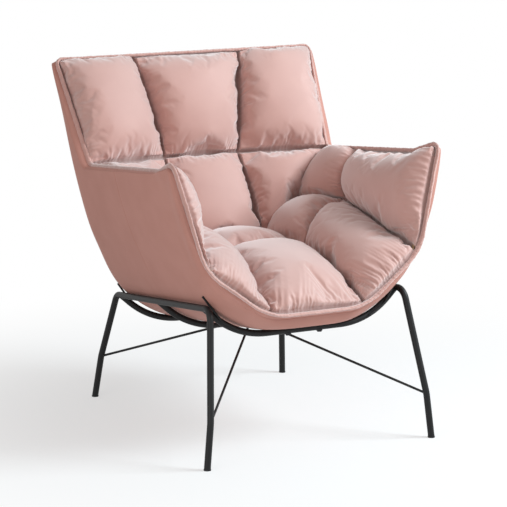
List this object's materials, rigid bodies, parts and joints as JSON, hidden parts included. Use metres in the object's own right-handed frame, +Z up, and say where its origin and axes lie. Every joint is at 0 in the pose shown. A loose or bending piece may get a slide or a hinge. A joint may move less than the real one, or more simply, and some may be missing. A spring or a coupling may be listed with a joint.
{
  "type": "upholstered armchair",
  "caption": "Lounge armchair with a quilted bucket seat in pink fabric, carried on a bent black steel-tube frame with splayed legs and thin brace rods.",
  "frame": {"origin": "middle of the chair's footprint box on the floor, between the foot glides", "axes": "+Z up, -Y towards the front of the seat, +X to the sitter's left"},
  "size_m": [0.7329, 0.7941, 0.8728],
  "materials": {
    "powder_coat": "fine-textured matt black powder coat on steel tube",
    "glide_plastic": "moulded black plastic",
    "cover_fabric": "smooth pink upholstery cloth with a soft sheen, stretched over the shell",
    "quilted_fabric": "smooth pink upholstery cloth with a soft sheen, quilted and gathered over soft filling",
    "piping_fabric": "folded pink upholstery cloth with gathers and stitches",
    "moulded_plywood": "moulded plywood shell, hidden under the cloth",
    "foam": "cut foam, hidden",
    "black_fixings": "black zinc-plated steel",
    "zinc_steel": "zinc-plated steel"
  },
  "bodies": {
    "root": {"side_frame_left": "powder_coat", "side_frame_right": "powder_coat", "cross_tube_front": "powder_coat", "cross_tube_middle": "powder_coat", "cross_tube_rear": "powder_coat", "brace_rod_front": "powder_coat", "brace_rod_rear": "powder_coat", "shell_stay_front_left": "powder_coat", "shell_stay_front_right": "powder_coat", "shell_stay_rear_left": "powder_coat", "shell_stay_rear_right": "powder_coat", "foot_glide_front_left": "glide_plastic", "foot_glide_front_right": "glide_plastic", "foot_glide_rear_left": "glide_plastic", "foot_glide_rear_right": "glide_plastic", "outer_cover": "cover_fabric", "shell_core": "moulded_plywood", "seat_foam": "foam", "side_foam": "foam", "saddle_washers": "black_fixings", "shell_screws": "black_fixings", "tee_nuts": "zinc_steel", "seat_pad_front": "quilted_fabric", "seat_pad_rear": "quilted_fabric", "lumbar_pad_centre": "quilted_fabric", "back_pad_centre": "quilted_fabric", "hip_pad_front_left": "quilted_fabric", "hip_pad_front_right": "quilted_fabric", "hip_pad_rear_left": "quilted_fabric", "hip_pad_rear_right": "quilted_fabric", "lumbar_pad_left": "quilted_fabric", "lumbar_pad_right": "quilted_fabric", "arm_pad_front_left": "quilted_fabric", "arm_pad_front_right": "quilted_fabric", "arm_pad_rear_left": "quilted_fabric", "arm_pad_rear_right": "quilted_fabric", "back_pad_left": "quilted_fabric", "back_pad_right": "quilted_fabric", "edge_piping": "piping_fabric"}
  },
  "joints": []
}
